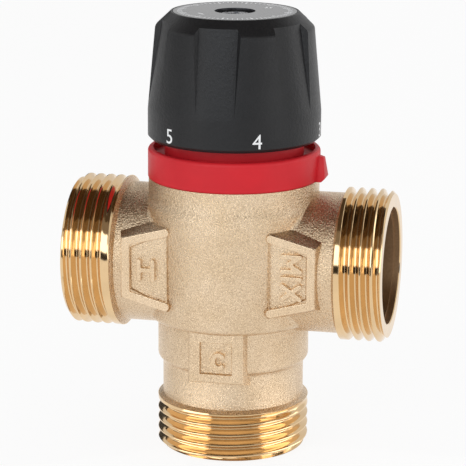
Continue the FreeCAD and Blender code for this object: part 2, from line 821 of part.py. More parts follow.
def knob():
    shape = knob_outer()
    for i in range(knob_lobes):
        shape = shape.cut(finger_recess(recess_turn + 360.0 * i / knob_lobes))
    shape = shape.cut(knob_cavity())
    hub_foot = spline_foot + hub_clear
    core = rod(hub_d / 2, hub_foot, knob_roof_under)
    shell_r = knob_top_d / 2 - recess_depth - knob_shell_wall
    for i in range(knob_lobes):
        rib = block(hub_d / 2 - hub_sink, shell_r + hub_sink, -rib_width / 2, rib_width / 2,
                    knob_roof_under - rib_drop, knob_roof_under)
        rib.rotate(Vector(0, 0, 0), Vector(0, 0, 1), recess_turn + 360.0 * (i + 0.5) / knob_lobes)
        core = core.fuse(rib)
    skirt_r = knob_band_d / 2 - knob_wall
    lug_foot = ring_collar_top + stop_clear
    lug = ring_sector(ring_collar_d / 2 - ring_collar_wall, skirt_r + hub_sink, lug_foot,
                      lug_foot + stop_height, 0, stop_lug_half_angle)
    shape = shape.fuse(core).fuse(lug)
    socket_top = spline_top + fit_gap
    shape = shape.cut(spline(spline_tip_d / 2 + spline_gap, spline_root_d / 2 + spline_gap,
                             hub_foot, socket_top))
    shape = shape.cut(rod(knob_screw_d / 2 + spline_gap, hub_foot, knob_top))
    shape = shape.cut(rod(screw_recess_d / 2, screw_seat, knob_top))
    return one_solid(shape.cut(rod(top_disc_d / 2 + spline_gap, knob_top - top_disc_height, knob_top)))


def knob_washer():
    return tube(washer_d / 2, knob_screw_d / 2 + fit_gap, screw_seat, screw_seat + washer_height)


def knob_screw():
    head_foot = screw_seat + washer_height
    head_top = head_foot + screw_head_height
    shape = rod(knob_screw_d / 2, head_foot - knob_screw_length, head_foot)
    head = rod(screw_head_d / 2, head_foot, head_top)
    shape = shape.fuse(head.makeChamfer(screw_head_edge, [head.Edges[0]]))
    slot_z = head_top - screw_slot_depth
    for turn in (0, 90):
        slot = block(-screw_slot_length / 2, screw_slot_length / 2, -screw_slot_width / 2,
                     screw_slot_width / 2, slot_z, head_top)
        slot.rotate(Vector(0, 0, 0), Vector(0, 0, 1), turn)
        shape = shape.cut(slot)
    return one_solid(shape)


def knob_top_disc():
    return tube(top_disc_d / 2, screw_recess_d / 2, knob_top - top_disc_height, knob_top)


pieces = {
    "valve_body": valve_body,
    "bonnet": bonnet,
    "bonnet_seal": bonnet_seal,
    "spindle": spindle,
    "spindle_seal_lower": lambda: spindle_seal(0),
    "spindle_seal_upper": lambda: spindle_seal(1),
    "thrust_washer": thrust_washer,
    "spindle_circlip": spindle_circlip,
    "lift_nut": lift_nut,
    "overload_spring": overload_spring,
    "overload_plunger": overload_plunger,
    "plunger_snap_ring": plunger_snap_ring,
    "element_pin": element_pin,
    "element_guide": element_guide,
    "element_cup": element_cup,
    "shuttle": shuttle,
    "guide_clip": guide_clip,
    "hot_seat_seal": hot_seat_seal,
    "cold_disc": cold_disc,
    "cold_disc_clip": cold_disc_clip,
    "cold_seat_seal": cold_seat_seal,
    "return_spring": return_spring,
    "spring_seat": spring_seat,
    "bore_snap_ring": bore_snap_ring,
    "pointer_ring": pointer_ring,
    "knob": knob,
    "knob_screw": knob_screw,
    "knob_washer": knob_washer,
    "knob_top_disc": knob_top_disc,
}

for name, make in pieces.items():
    shape = make()
    shape.exportStep("parts/" + name + ".step")
    print(f"{name:20s} solids {len(shape.Solids)} valid {shape.isValid()} volume {shape.Volume:9.1f} mm3")
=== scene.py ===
"""Looks of the thermostatic mixing valve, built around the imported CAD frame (metres)."""
import bpy
import bmesh
import json
import math
from mathutils import Matrix, Vector


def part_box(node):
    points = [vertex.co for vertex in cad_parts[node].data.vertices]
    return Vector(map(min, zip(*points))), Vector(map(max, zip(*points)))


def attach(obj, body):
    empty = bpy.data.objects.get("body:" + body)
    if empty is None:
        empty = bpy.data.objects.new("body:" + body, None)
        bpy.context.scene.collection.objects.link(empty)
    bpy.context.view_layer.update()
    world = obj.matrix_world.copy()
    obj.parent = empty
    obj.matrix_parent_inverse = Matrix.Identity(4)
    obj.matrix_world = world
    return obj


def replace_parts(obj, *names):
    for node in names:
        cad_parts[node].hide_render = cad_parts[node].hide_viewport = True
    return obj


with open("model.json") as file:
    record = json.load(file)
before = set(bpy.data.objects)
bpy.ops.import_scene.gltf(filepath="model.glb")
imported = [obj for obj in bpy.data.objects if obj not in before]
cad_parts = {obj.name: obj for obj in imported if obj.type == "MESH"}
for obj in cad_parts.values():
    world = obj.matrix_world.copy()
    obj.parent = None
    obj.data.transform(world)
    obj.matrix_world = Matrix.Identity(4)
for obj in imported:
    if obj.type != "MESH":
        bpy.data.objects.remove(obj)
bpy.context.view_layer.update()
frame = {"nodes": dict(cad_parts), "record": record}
nodes = frame["nodes"]
MM = 0.001
X, Y, Z = Vector((1, 0, 0)), Vector((0, 1, 0)), Vector((0, 0, 1))
FRONT = -Y
FULL_TURN = 2 * math.pi
COLUMNS = 128                            # points round every turned surface
CAD_MERGE = 1e-6                         # points of the frame's meshes closer than this are one
FINE_MERGE = 1e-7                        # and so are those of threads and print
TOUCH = 0.01 * MM                        # surfaces closer than this count as the same

# ------------------------------------------------------------------ places from the frame
knob_low, knob_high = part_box("knob")
ring_low, ring_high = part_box("pointer_ring")
snap_low, snap_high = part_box("bore_snap_ring")
PORT_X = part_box("valve_body")[1].x       # face of the side ports
DISC_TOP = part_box("knob_top_disc")[1].z
BAND_R = (knob_high.y - knob_low.y) / 2  # plain band at the knob's foot
KNOB_FOOT = knob_low.z
RING_FOOT = ring_low.z

# ------------------------------------------------------------------ sizes of the casting
AXIS_Z = 42.0 * MM                       # axis of the side ports above the lower port's face
THREAD_R = 16.625 * MM
PITCH = 25.4 / 11 * MM
CHAMFER = 1.0 * MM
RUN_OUT = 0.65 * MM                      # cone between the thread and its neck
THREAD_STEP = 0.12 * MM                  # the turned end stands this far out of the cast cone
SIDE_NECK_R = 15.3 * MM
COLD_NECK_R = 15.5 * MM
END_LENGTH = 11.8 * MM                   # the casting is replaced from here to each port's face
BORE_R = 12.0 * MM
MOUTH_R = 12.7 * MM
MOUTH_DEPTH = 1.5 * MM
EDGE = 0.2 * MM
SNAP_R = BORE_R + 0.8 * MM               # groove of the snap ring in the lower port
PANEL_FACE = 16.0 * MM                   # the panels' faces, in front of the barrel's axis
COLD_PANEL_FACE = 17.3 * MM
POCKET = 0.5 * MM                        # depth of the panels' recesses
PANEL_Z = AXIS_Z + 0.2 * MM              # middle of the side panels
PANEL_INNER_X = 11.0 * MM
PANEL_OUTER_X = 21.2 * MM
PANEL_HALF_IN = 9.3 * MM
PANEL_HALF_OUT = 6.6 * MM
PANEL_BORDER = 1.9 * MM
SLANT = 1.035                            # height of a slanting border for each unit of its width
OPENING_START = PANEL_INNER_X + 0.3 * MM                 # cut between a recess and the barrel
OPENING_END = PANEL_INNER_X + PANEL_BORDER + 0.4 * MM
RIDGE_START = PANEL_INNER_X + 0.5 * MM
RIDGE_WIDTH = PANEL_BORDER - 0.1 * MM
RIDGE_RISE = 0.3 * MM                    # rounded border above the panel's face
LETTER_RISE = 0.85 * MM                  # above the pocket's floor
LETTER_SINK = 0.4 * MM                   # and below it
LETTER_STROKE = 0.98 * MM

# ------------------------------------------------------------------ sizes of the ring and the knob
RING_TOP = RING_FOOT + 6.6 * MM
RING_ROUND = 0.8 * MM                    # rounded upper edge of the rim
ROUND_STEPS = 6
RING_EDGE = 0.3 * MM
RIM_WALL = 1.15 * MM
CHANNEL = 1.5 * MM                       # groove behind the rim
FLANGE_ROOM_R = 17.2 * MM                # clear of the bonnet's flange
FLANGE_TOP = RING_FOOT + 2.5 * MM
COLLAR_R = 15.1 * MM                     # collar inside the knob's skirt
COLLAR_WALL = 1.0 * MM
COLLAR_TOP = RING_FOOT + 10.3 * MM
STOP_HALF = math.radians(8)
POINTER_HEIGHT = 5.5 * MM
POINTER_WIDTH = 4.9 * MM                 # at its foot
POINTER_TIP = 1.7 * MM                   # it narrows towards the knob's numbers
POINTER_BEVEL = 0.8 * MM                 # cut off its lower outer edge
POINTER_LEAN = 1.15 * MM                 # its upper outer edge, out from the rim
POINTER_SHOULDER = 0.35 * MM             # and down from its top
POINTER_ROUND = 0.16 * MM
KNOB_DROP = 0.3 * MM                     # the knob's foot stands this much nearer the ring
KNOB_FOOT_HEIGHT = 1.0 * MM
NUMBER_Z = KNOB_FOOT + 2.2 * MM
NUMBER_HEIGHT = 3.1 * MM
NUMBER_DEPTH = 0.06 * MM
PRINT_SINK = 0.01 * MM                   # the disc's print, below and above its face
PRINT_RISE = 0.03 * MM
TICKS = 72
LONG_TICK_EVERY = 6
LONG_TICK = (11.6 * MM, 1.7 * MM, 0.34 * MM)    # radius, length and width
SHORT_TICK = (11.9 * MM, 1.1 * MM, 0.24 * MM)
SIGN_BAR = (8.6 * MM, 2.0 * MM, 0.45 * MM)
PLUS_ANGLE = 45
MINUS_ANGLE = 225


# ------------------------------------------------------------------ materials
class Shader:
    """A material and short ways to add nodes to it."""

    def __init__(self, name, color, metallic=0.0, roughness=0.5, **sockets):
        self.material = bpy.data.materials.new(name)
        self.material.use_nodes = True
        self.tree = self.material.node_tree
        self.surface = self.tree.nodes["Principled BSDF"]
        self.set(self.surface, Base_Color=(*color, 1.0), Metallic=metallic, Roughness=roughness)
        self.set(self.surface, **sockets)
        self.coords = self.node("TexCoord").outputs["Object"]

    def set(self, node, **sockets):
        """Set constants; an underscore stands for the space in a socket's name."""
        for socket, value in sockets.items():
            node.inputs[socket.replace("_", " ")].default_value = value

    def node(self, kind, **sockets):
        made = self.tree.nodes.new("ShaderNode" + kind)
        self.set(made, **sockets)
        return made

    def link(self, output, target):
        self.tree.links.new(output, target)

    def to(self, socket, output):
        self.link(output, self.surface.inputs[socket])

    def mapped(self, scale):
        node = self.node("Mapping", Scale=scale)
        self.link(self.coords, node.inputs["Vector"])
        return node.outputs["Vector"]

    def noise(self, scale, detail=3.0, roughness=0.55, vector=None):
        node = self.node("TexNoise", Scale=scale, Detail=detail, Roughness=roughness)
        self.link(vector or self.coords, node.inputs["Vector"])
        return node.outputs["Fac"]

    def ramp(self, value, *stops):
        """Colour ramp; each stop is a place and a colour."""
        node = self.node("ValToRGB")
        ends = node.color_ramp.elements
        while len(ends) < len(stops):
            ends.new(0.5)
        for end, (place, color) in zip(ends, stops):
            end.position = place
            end.color = (*color, 1.0)
        self.link(value, node.inputs["Fac"])
        return node.outputs["Color"]

    def fit(self, value, low, high, out_low, out_high):
        """Move the range low to high onto out_low to out_high."""
        node = self.node("MapRange", From_Min=low, From_Max=high, To_Min=out_low, To_Max=out_high)
        self.link(value, node.inputs["Value"])
        return node.outputs["Result"]

    def multiply(self, first, second):
        """Product of two colours."""
        node = self.node("Mix")
        node.data_type = "RGBA"
        node.blend_type = "MULTIPLY"
        sockets = {socket.identifier: socket for socket in (*node.inputs, *node.outputs)}
        sockets["Factor_Float"].default_value = 1.0
        self.link(first, sockets["A_Color"])
        self.link(second, sockets["B_Color"])
        return sockets["Result_Color"]

    def blend(self, share, first, second):
        """Show the first surface where share is 0 and the second where it is 1."""
        node = self.node("MixShader")
        for output, socket in zip((share, first, second), node.inputs):
            self.link(output, socket)
        self.link(node.outputs[0], self.tree.nodes["Material Output"].inputs["Surface"])

    def bump(self, height, distance, strength=1.0):
        node = self.node("Bump", Distance=distance, Strength=strength)
        self.link(height, node.inputs["Height"])
        return node.outputs["Normal"]


def shaded(color, share):
    """Darker or lighter copy of a colour."""
    return tuple(min(1.0, share * part) for part in color)


def cast_brass(name, depth, painted_highlight_share=1.0):
    """Sand-cast brass: fine grains over broad darker and lighter patches. A share above 1 makes a lighter
    copy, which is a painted highlight.
    """
    shader = Shader(name, (0.78, 0.60, 0.41), metallic=1.0, roughness=0.33)
    grain = shader.noise(scale=2700, roughness=0.6)
    patches = shader.noise(scale=110, detail=4)
    dark, light = (0.74, 0.55, 0.355), (0.83, 0.645, 0.45)
    tone = shader.ramp(patches, (0.3, shaded(dark, painted_highlight_share)), (0.7, shaded(light, painted_highlight_share)))
    speck = shader.ramp(grain, (0.30, (0.74, 0.71, 0.68)), (0.5, (0.97, 0.97, 0.97)), (0.68, (1, 1, 1)))
    shader.to("Base Color", shader.multiply(tone, speck))
    shader.to("Roughness", shader.fit(grain, 0.3, 0.7, 0.34, 0.22))
    shader.to("Normal", shader.bump(grain, depth))
    return shader.material


def turned_brass(name, squeeze):
    """Polished brass with fine turning lines, drawn out across the axis by the squeeze."""
    rough, color = 0.095, (0.83, 0.59, 0.33)
    shader = Shader(name, color, metallic=1.0, roughness=rough)
    wear = shader.noise(scale=160, detail=4, roughness=0.6)
    shader.to("Base Color", shader.ramp(wear, (0.35, shaded(color, 0.9)), (0.65, color)))
    shader.to("Roughness", shader.fit(wear, 0.3, 0.7, rough * 0.8, rough * 1.3))
    lines = shader.noise(scale=5200, detail=2, roughness=0.5, vector=shader.mapped(squeeze))
    shader.to("Normal", shader.bump(lines, 0.004 * MM, strength=0.6))
    return shader.material


def plastic(name, color, rough, grain=2500, relief=0.02 * MM, variation=0.12, **sockets):
    shader = Shader(name, color, roughness=rough, **sockets)
    fine = shader.noise(grain, roughness=0.6)
    dark, light = shaded(color, 1 - variation), shaded(color, 1 + variation)
    shader.to("Base Color", shader.ramp(shader.noise(scale=140), (0.3, dark), (0.7, light)))
    shader.to("Roughness", shader.fit(fine, 0.3, 0.7, rough * 1.1, rough * 0.9))
    shader.to("Normal", shader.bump(fine, relief, strength=0.8))
    return shader.material


def metal(name, color, rough, grain=700):
    shader = Shader(name, color, metallic=1.0, roughness=rough)
    fine = shader.noise(grain, detail=4, roughness=0.6)
    shader.to("Base Color", shader.ramp(fine, (0.3, shaded(color, 0.85)), (0.7, color)))
    shader.to("Roughness", shader.fit(fine, 0.3, 0.7, rough * 1.2, rough * 0.85))
    shader.to("Normal", shader.bump(shader.noise(grain * 3, detail=2), 0.006 * MM, strength=0.5))
    return shader.material


CAST = cast_brass("cast_brass", depth=0.21 * MM)
# lighter copy for the raised letters and panel borders: a painted highlight on their strokes
CAST_PAINTED_HIGHLIGHT = cast_brass("cast_brass_with_painted_highlight", depth=0.10 * MM, painted_highlight_share=1.13)
# darker, rougher brass of the bores: its dark brown is painted shade inside the ports
BORE_PAINTED_SHADE = metal("bore_brass_painted_shade", (0.42, 0.27, 0.15), 0.5, 1500)
TURNED_X = turned_brass("turned_brass_x", squeeze=(1, 0.02, 0.02))
TURNED_Z = turned_brass("turned_brass_z", squeeze=(0.02, 0.02, 1))
RED = plastic("red_plastic", (0.58, 0.012, 0.020), 0.45, grain=1800, relief=0.012 * MM,
              variation=0.06, Specular_IOR_Level=0.3)
BLACK = plastic("black_plastic", (0.009, 0.009, 0.010), 0.42, grain=1500, relief=0.09 * MM,
                Specular_IOR_Level=0.38)
PRINT_WHITE = plastic("print_white", (0.82, 0.82, 0.82), 0.45, variation=0.03)
slot_materials = {
    "cast_brass": CAST,
    "turned_brass": TURNED_Z,
    "copper": metal("copper", (0.80, 0.42, 0.27), 0.28),
    "spring_steel": metal("spring_steel", (0.58, 0.58, 0.60), 0.25),
    "black_rubber": plastic("black_rubber", (0.018, 0.018, 0.018), 0.6),
    "white_plastic": plastic("white_plastic", (0.80, 0.80, 0.77), 0.4, variation=0.03),
    "red_plastic": RED,
    "black_plastic": BLACK,
    "printed_disc": plastic("printed_disc", (0.035, 0.035, 0.040), 0.16, grain=900,
                            relief=0.002 * MM, variation=0.05),
}

for part in frame["record"]["subparts"]:
    node_mesh = nodes[part["node"]].data
    node_mesh.materials.clear()
    node_mesh.materials.append(slot_materials[part["material_slot"]])


# ------------------------------------------------------------------ mesh helpers
def new_object(name, data):
    obj = bpy.data.objects.new(name, data)
    bpy.context.scene.collection.objects.link(obj)
    return obj


def new_mesh(name, bm):
    mesh = bpy.data.meshes.new(name)
    bm.to_mesh(mesh)
    bm.free()
    return mesh


def outward_mesh(name, bm):
    bmesh.ops.recalc_face_normals(bm, faces=bm.faces)
    return new_mesh(name, bm)


def bmesh_of(mesh, merge=0.0):
    """Editable copy of a mesh, with points closer than merge joined."""
    bm = bmesh.new()
    bm.from_mesh(mesh)
    if merge:
        bmesh.ops.remove_doubles(bm, verts=bm.verts, dist=merge)
    return bm


def applied_mesh(obj):
    """New mesh of an object with its modifiers or its text applied."""
    bpy.context.view_layer.update()
    ready = obj.evaluated_get(bpy.context.evaluated_depsgraph_get())
    return bpy.data.meshes.new_from_object(ready)


def add_piece(name, bm, material, body, sharp):
    """Shown piece that rides a body; edges that turn by more than sharp degrees stay crisp."""
    mesh = outward_mesh(name, bm)
    obj = new_object(name, mesh)
    mesh.materials.clear()
    mesh.materials.append(material)
    for old in ("custom_normal", "sharp_edge"):
        if old in mesh.attributes:
            mesh.attributes.remove(mesh.attributes[old])
    mesh.polygons.foreach_set("use_smooth", [True] * len(mesh.polygons))
    mesh.set_sharp_from_angle(angle=math.radians(sharp))
    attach(obj, body)
    return obj


def revolve(bm, profile, place, closed=True):
    """Turned surface through (radius, height) points; place gives the position of a point."""
    angles = [FULL_TURN * i / COLUMNS for i in range(COLUMNS)]
    rings = [[bm.verts.new(place(radius, angle, height)) for angle in angles]
             for radius, height in profile]
    pairs = list(zip(rings, rings[1:]))
    if closed:
        pairs.append((rings[-1], rings[0]))
    for here, there in pairs:
        for i in range(COLUMNS):
            after = (i + 1) % COLUMNS
            bm.faces.new([here[i], here[after], there[after], there[i]])


def upright(radius, angle, z):
    """Place round the Z axis, for revolve."""
    return Vector((radius * math.cos(angle), radius * math.sin(angle), z))


def slab(bm, low, high):
    """Closed solid between two outlines with as many points each."""
    under = [bm.verts.new(point) for point in low]
    over = [bm.verts.new(point) for point in high]
    bm.faces.new(under[::-1])
    bm.faces.new(over)
    for k in range(len(under)):
        after = (k + 1) % len(under)
        bm.faces.new([under[k], under[after], over[after], over[k]])


# ------------------------------------------------------------------ threaded port ends
# The Whitworth form of a pipe thread, as shares of the pitch.
FORM_ROUND = 0.137329
FORM_DEPTH = 0.640327
FLANK = math.radians(27.5)
FADE_START = 0.25                        # a groove nearer the thread's end than this has no depth
FADE_SPAN = 0.35                         # and one this much further on has all of it
START_SLOPE = 0.9                        # near the face, a cone of this slope limits the depth
SPARE_TURNS = 3                          # their points are all held to the neck or the face
ROOT_R = THREAD_R - FORM_DEPTH * PITCH
FACE_R = THREAD_R - CHAMFER


def crest_to_root():
    """Points (place, depth) of the form from the middle of a crest to the middle of a groove."""
    reach = FORM_ROUND * math.cos(FLANK)
    crest = [(x, FORM_ROUND - math.sqrt(FORM_ROUND ** 2 - x ** 2)) for x in (0.0, reach / 2, reach)]
    groove = [(0.5 - x, FORM_DEPTH - depth) for x, depth in reversed(crest)]
    return [*crest, (0.25, FORM_DEPTH / 2), *groove]


HALF_FORM = crest_to_root()
# places of the points of one turn, from groove to groove
PLACES = [-place for place, _ in HALF_FORM[:0:-1]] + [place for place, _ in HALF_FORM[:-1]]


class Port:
    """Threaded end of the casting; heights count outwards from its face."""

    def __init__(self, name, face, up, out, thread, crest, neck_r, material, grooves=()):
        self.name = name
        self.face = face                 # middle of its face
        self.up = up                     # a quarter turn from the front
        self.out = out
        self.thread = thread             # length of the thread
        self.crest = crest               # first crest behind the face, at the front
        self.neck_r = neck_r
        self.material = material
        self.grooves = grooves           # of the bore, as (radius, height)

    def place(self, radius, angle, height):
        turn = FRONT * math.cos(angle) + self.up * math.sin(angle)
        return self.face + turn * radius + self.out * height


def form_depth(place):
    """Depth of the form at a distance from the nearest crest, both as shares of the pitch."""
    for (start, high), (end, low) in zip(HALF_FORM, HALF_FORM[1:]):
        if place <= end:
            return high + (low - high) * (place - start) / (end - start)
    return FORM_DEPTH


def smooth_step(share):
    share = min(1.0, max(0.0, share))
    return share * share * (3 - 2 * share)


def thread_radius(port, height, turns):
    """Radius at a height, where turns counts pitches from the first crest."""
    if height <= -port.thread:
        return THREAD_R
    place = turns - math.floor(turns + 0.5)
    groove = height + (math.copysign(0.5, place) - place) * PITCH
    fade = smooth_step((groove + port.thread - FADE_START * PITCH) / (FADE_SPAN * PITCH))
    radius = THREAD_R - form_depth(abs(place)) * PITCH * fade
    lowest = max(ROOT_R, FACE_R + START_SLOPE * height)
    return min(max(radius, lowest), FACE_R - height, THREAD_R)


def thread_skin(bm, port):
    """Outer skin of a threaded end: points along the helix, held between the neck and the face."""
    turns_behind = int(port.thread / PITCH) + SPARE_TURNS
    steps = [turn + place for turn in range(-turns_behind, SPARE_TURNS) for place in PLACES]
    columns = []
    for i in range(COLUMNS):
        share = i / COLUMNS
        column = []
        for step in steps:
            height = min(0.0, max(-port.thread, PITCH * (step + share) - port.crest))
            radius = thread_radius(port, height, (height + port.crest) / PITCH - share)
            column.append(bm.verts.new(port.place(radius, FULL_TURN * share, height)))
        columns.append(column)
    for i in range(COLUMNS):
        here, there = columns[i], columns[(i + 1) % COLUMNS]
        climb = len(PLACES) if i == COLUMNS - 1 else 0    # a full turn has climbed one pitch
        for k in range(len(steps) - 1 - climb):
            bm.faces.new([here[k], there[k + climb], there[k + 1 + climb], here[k + 1]])
    bmesh.ops.remove_doubles(bm, verts=bm.verts, dist=FINE_MERGE)
    bmesh.ops.dissolve_degenerate(bm, edges=bm.edges, dist=FINE_MERGE)
    loose = [v for v in bm.verts if not v.link_faces]
    bmesh.ops.delete(bm, geom=loose, context="VERTS")


def threaded_end(port):
    """Turned end of a port: thread, face, mouth step and bore."""
    bm = bmesh.new()
    thread_skin(bm, port)
    inner = [(MOUTH_R + EDGE, 0.0), (MOUTH_R, -EDGE), (MOUTH_R, -MOUTH_DEPTH),
             (BORE_R, -MOUTH_DEPTH), *port.grooves, (BORE_R, -port.thread)]
    revolve(bm, inner, port.place, closed=False)
    for height in (0.0, -port.thread):
        rim = [e for e in bm.edges if e.is_boundary
               and all(abs((v.co - port.face).dot(port.out) - height) < TOUCH for v in e.verts)]
        bmesh.ops.bridge_loops(bm, edges=rim)
    piece = add_piece(port.name + "_thread", bm, port.material, "valve", 30)
    # the bore and mouth step take the dark brown brass, painted shade inside the port
    piece.data.materials.append(BORE_PAINTED_SHADE)
    for face in piece.data.polygons:
        middle = face.center - port.face
        if (middle - port.out * middle.dot(port.out)).length < MOUTH_R + TOUCH:
            face.material_index = 1
    return piece


def cast_neck(port):
    """Cast ring behind a threaded end: its cone and the start of the plain neck."""
    back = -END_LENGTH - EDGE
    bm = bmesh.new()
    revolve(bm, [(BORE_R, -port.thread), (THREAD_R - THREAD_STEP, -port.thread),
                 (port.neck_r, -port.thread - RUN_OUT), (port.neck_r, back), (BORE_R, back)], port.place)
    return add_piece(port.name + "_neck", bm, CAST, "valve", 40)


snap_groove = [(BORE_R, -snap_low.z), (SNAP_R, -snap_low.z), (SNAP_R, -snap_high.z), (BORE_R, -snap_high.z)]
ports = [
    Port("hot_port", Vector((-PORT_X, 0, AXIS_Z)), up=Z, out=-X, thread=11.1 * MM, crest=2.4 * MM,
         neck_r=SIDE_NECK_R, material=TURNED_X),
    Port("mix_port", Vector((PORT_X, 0, AXIS_Z)), up=-Z, out=X, thread=9.9 * MM, crest=2.0 * MM,
         neck_r=SIDE_NECK_R, material=TURNED_X),
    Port("cold_port", Vector((0, 0, 0)), up=-X, out=-Z, thread=10.8 * MM, crest=1.3 * MM,
         neck_r=COLD_NECK_R, material=TURNED_Z, grooves=snap_groove),
]
ends = []
for port in ports:
    ends += [threaded_end(port), cast_neck(port)]


# ------------------------------------------------------------------ casting without its port ends
def casting():
    """The frame's own casting, cut off and closed behind each port's end."""
    bm = bmesh_of(nodes["valve_body"].data, merge=CAD_MERGE)
    end_x = PORT_X - END_LENGTH
    cuts = [(Vector((-end_x, 0, 0)), -X), (Vector((end_x, 0, 0)), X), (Vector((0, 0, END_LENGTH)), -Z)]
    for place, normal in cuts:
        geom = bm.verts[:] + bm.edges[:] + bm.faces[:]
        found = bmesh.ops.bisect_plane(bm, geom=geom, dist=FINE_MERGE, plane_co=place,
                                       plane_no=normal, clear_outer=True)
        rim = [e for e in found["geom_cut"] if isinstance(e, bmesh.types.BMEdge) and e.is_boundary]
        bmesh.ops.bridge_loops(bm, edges=rim)
    return add_piece("casting", bm, CAST, "valve", 28)


def panel_edge(x):
    """Half the height of a side panel's face at a distance x from the barrel's axis."""
    slope = (PANEL_HALF_IN - PANEL_HALF_OUT) / (PANEL_OUTER_X - PANEL_INNER_X)
    return PANEL_HALF_IN - slope * (x - PANEL_INNER_X)


def open_recesses(piece):
    """Cut the rim between each side panel's recess and the barrel."""
    bm = bmesh.new()
    floor, air = POCKET - PANEL_FACE, -PANEL_FACE - 1.0 * MM
    near, far = (panel_edge(x) - PANEL_BORDER * SLANT for x in (OPENING_START, OPENING_END))
    for side in (-1, 1):
        start, end = side * OPENING_START, side * OPENING_END
        outline = [(start, PANEL_Z + near), (end, PANEL_Z + far),
                   (end, PANEL_Z - far), (start, PANEL_Z - near)]
        slab(bm, [(x, floor, z) for x, z in outline], [(x, air, z) for x, z in outline])
    cutter = new_object("cutter", outward_mesh("cutter", bm))
    cut = piece.modifiers.new("recess", "BOOLEAN")
    cut.operation = "DIFFERENCE"
    cut.solver = "EXACT"
    cut.object = cutter
    mesh = applied_mesh(piece)
    piece.modifiers.clear()
    bpy.data.objects.remove(cutter)
    old = piece.data
    piece.data = mesh
    bpy.data.meshes.remove(old)
    mesh.name = "casting"
    mesh.materials.clear()
    mesh.materials.append(CAST)


body_piece = casting()
open_recesses(body_piece)
for piece in (body_piece, *ends):
    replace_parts(piece, "valve_body")


# ------------------------------------------------------------------ pointer ring and knob
def ring_piece():
    """Red ring: its rim, the channel behind it, the collar inside the knob and the knob's stop."""
    bm = bmesh.new()
    angles = [math.radians(90 / ROUND_STEPS * k) for k in range(ROUND_STEPS + 1)]
    shoulder = [(BAND_R - RING_ROUND * (1 - math.cos(angle)), RING_TOP - RING_ROUND * (1 - math.sin(angle)))
                for angle in angles]
    channel_r = BAND_R - RIM_WALL
    channel_floor = RING_TOP - CHANNEL
    inside_r = COLLAR_R - COLLAR_WALL
    revolve(bm, [(FLANGE_ROOM_R, RING_FOOT), (BAND_R - RING_EDGE, RING_FOOT), (BAND_R, RING_FOOT + RING_EDGE),
                 *shoulder, (channel_r, RING_TOP), (channel_r, channel_floor), (COLLAR_R, channel_floor),
                 (COLLAR_R, COLLAR_TOP), (inside_r, COLLAR_TOP), (inside_r, FLANGE_TOP),
                 (FLANGE_ROOM_R, FLANGE_TOP)], upright)
    corners = ((inside_r, STOP_HALF), (COLLAR_R, STOP_HALF), (COLLAR_R, -STOP_HALF), (inside_r, -STOP_HALF))
    low, high = ([upright(radius, math.pi + angle, z) for radius, angle in corners]
                 for z in (COLLAR_TOP - RING_EDGE, ring_high.z))
    slab(bm, low, high)
    return add_piece("ring", bm, RED, "valve", 30)


def pointer_piece():
    """Wedge on the ring's rim that narrows upwards; its outer face leans in."""
    root, reach, top = BAND_R - RIM_WALL / 2, ring_high.x, RING_FOOT + POINTER_HEIGHT
    side = [(root, RING_FOOT), (reach - POINTER_BEVEL, RING_FOOT), (reach, RING_FOOT + POINTER_BEVEL),
            (BAND_R + POINTER_LEAN, top - POINTER_SHOULDER), (BAND_R, top), (root, top)]

    def half_width(z):
        share = (z - RING_FOOT) / POINTER_HEIGHT
        return (POINTER_WIDTH + (POINTER_TIP - POINTER_WIDTH) * share) / 2

    bm = bmesh.new()
    slab(bm, [(x, half_width(z), z) for x, z in side], [(x, -half_width(z), z) for x, z in side])
    bmesh.ops.bevel(bm, geom=bm.edges[:], offset=POINTER_ROUND, segments=2, affect="EDGES", profile=0.5)
    return add_piece("pointer", bm, RED, "valve", 40)


def knob_piece():
    """The knob's own mesh with its foot a little nearer the ring."""
    bm = bmesh_of(nodes["knob"].data, merge=CAD_MERGE)
    for v in bm.verts:
        if v.co.z < KNOB_FOOT + KNOB_FOOT_HEIGHT:
            v.co.z -= KNOB_DROP
    return add_piece("knob_shell", bm, BLACK, "handle", 28)


for piece in (ring_piece(), pointer_piece()):
    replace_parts(piece, "pointer_ring")
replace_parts(knob_piece(), "knob")


# ------------------------------------------------------------------ cast letters and panel borders
def arc_points(centre, radii, start, end, steps):
    """Points on a part of an ellipse, between two angles in degrees."""
    angles = [math.radians(start + (end - start) * k / steps) for k in range(steps + 1)]
    return [(centre[0] + radii[0] * math.cos(angle), centre[1] + radii[1] * math.sin(angle))
            for angle in angles]


# each letter's strokes and width, where its height is 1
LETTERS = {
    "H": ([[(0, 0), (0, 1)], [(0.78, 0), (0.78, 1)], [(0, 0.5), (0.78, 0.5)]], 0.78),
    "M": ([[(0, 0), (0, 1), (0.42, 0.35), (0.84, 1), (0.84, 0)]], 0.84),
    "I": ([[(0, 0), (0, 1)]], 0.0),
    "X": ([[(0, 0), (0.74, 1)], [(0, 1), (0.74, 0)]], 0.74),
    "C": ([arc_points((0.42, 0.5), (0.42, 0.5), 50, 310, 10)], 0.74),
}
LETTER_GAP = 0.42                        # between the strokes of neighbouring letters
VOXEL = 0.09 * MM
END_STEPS = 12                           # of the half circle at each end of a bar


def stroke_bar(bm, start, end, width, depth):
    """Flat bar with round ends between two points."""
    along = Vector(end) - Vector(start)
    turn = math.atan2(along.y, along.x)
    rim = []
    for (x, y), first in ((end, -90), (start, 90)):
        for k in range(END_STEPS + 1):
            angle = turn + math.radians(first + 180 / END_STEPS * k)
            rim.append((x + width / 2 * math.cos(angle), y + width / 2 * math.sin(angle)))
    low, high = ([(x, y, z) for x, y in rim] for z in (-depth / 2, depth / 2))
    slab(bm, low, high)


